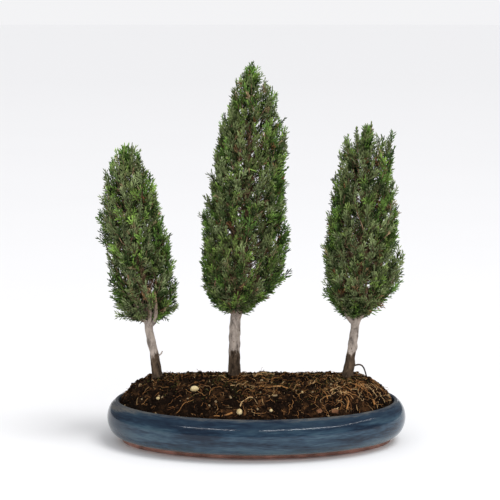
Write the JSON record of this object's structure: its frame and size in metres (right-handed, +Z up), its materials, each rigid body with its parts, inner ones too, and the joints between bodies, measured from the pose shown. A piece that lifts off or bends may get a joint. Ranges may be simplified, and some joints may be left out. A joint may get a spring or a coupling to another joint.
{
  "type": "bonsai group planting in a pot",
  "caption": "Small conifers clipped to flame shapes, planted in a row in a shallow oval glazed pot heaped with soil, pebbles and surface roots.",
  "frame": {"origin": "middle of the pot's footprint, on the surface that its foot ring stands on", "axes": "+Z up; +X along the row of trees, to the right as seen from the front; +Y to the back"},
  "size_m": [0.3017, 0.204, 0.3803],
  "materials": {
    "glaze": "gloss",
    "screen": "matte",
    "wire": "satin",
    "soil": "matte",
    "bark": "matte",
    "foliage": "matte",
    "pebble": "matte",
    "root": "matte",
    "chip": "matte"
  },
  "bodies": {
    "root": {"bark_chip_1": "chip", "bark_chip_2": "chip", "bark_chip_3": "chip", "centre_tree_lower_bough_1": "foliage", "centre_tree_lower_bough_2": "foliage", "centre_tree_lower_bough_3": "foliage", "centre_tree_lower_bough_4": "foliage", "centre_tree_top_bough": "foliage", "centre_tree_upper_bough_1": "foliage", "centre_tree_upper_bough_2": "foliage", "centre_tree_upper_bough_3": "foliage", "centre_tree_wood": "bark", "left_drain_screen": "screen", "left_screen_wire": "wire", "left_tree_lower_bough_1": "foliage", "left_tree_lower_bough_2": "foliage", "left_tree_lower_bough_3": "foliage", "left_tree_top_bough": "foliage", "left_tree_upper_bough_1": "foliage", "left_tree_upper_bough_2": "foliage", "left_tree_upper_bough_3": "foliage", "left_tree_wood": "bark", "pebble_1": "pebble", "pebble_2": "pebble", "pebble_3": "pebble", "pebble_4": "pebble", "pebble_5": "pebble", "pebble_6": "pebble", "pot": "glaze", "right_drain_screen": "screen", "right_screen_wire": "wire", "right_tree_lower_bough_1": "foliage", "right_tree_lower_bough_2": "foliage", "right_tree_lower_bough_3": "foliage", "right_tree_top_bough": "foliage", "right_tree_upper_bough_1": "foliage", "right_tree_upper_bough_2": "foliage", "right_tree_upper_bough_3": "foliage", "right_tree_wood": "bark", "soil": "soil", "surface_root_1": "root", "surface_root_2": "root", "surface_root_3": "root", "surface_root_4": "root", "surface_root_5": "root", "surface_root_6": "root"}
  },
  "joints": []
}
